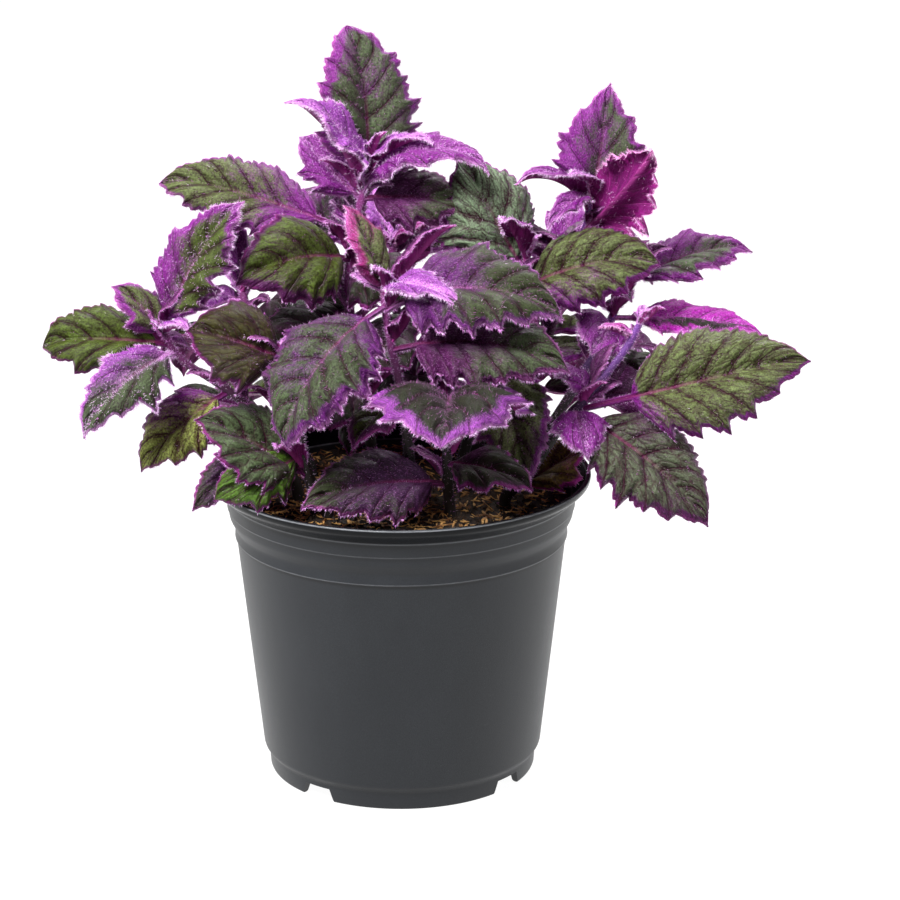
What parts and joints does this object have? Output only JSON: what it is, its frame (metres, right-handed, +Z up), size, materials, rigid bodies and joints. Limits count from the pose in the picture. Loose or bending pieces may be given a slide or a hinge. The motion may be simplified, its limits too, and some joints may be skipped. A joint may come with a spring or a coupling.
{
  "type": "potted purple passion plant",
  "caption": "Bushy foliage plant with toothed, felted green and purple leaves on soft stems, rooted in soil in a plain tapered nursery pot that stands on a floor or shelf.",
  "frame": {"origin": "centre of the pot's flat underside, on the surface it stands on", "axes": "+Z up along the pot's axis, -Y towards the front of the plant, +X to the right seen from the front"},
  "size_m": [0.2741, 0.2102, 0.275],
  "materials": {
    "black_plastic": "charcoal black moulded plastic with a faint satin sheen",
    "peat_soil": "dark crumbly peat with light wood fibres",
    "foliage": "soft green blades with purple hairs, veins and margins"
  },
  "bodies": {
    "root": {"pot": "black_plastic", "soil": "peat_soil", "tall_shoot": "foliage", "front_shoot": "foliage", "centre_shoot": "foliage", "right_tall_shoot": "foliage", "left_shoot": "foliage", "left_low_shoot": "foliage", "right_low_shoot": "foliage", "right_shoot": "foliage", "front_low_shoot": "foliage", "back_left_shoot": "foliage", "back_shoot": "foliage", "back_right_shoot": "foliage"}
  },
  "joints": []
}
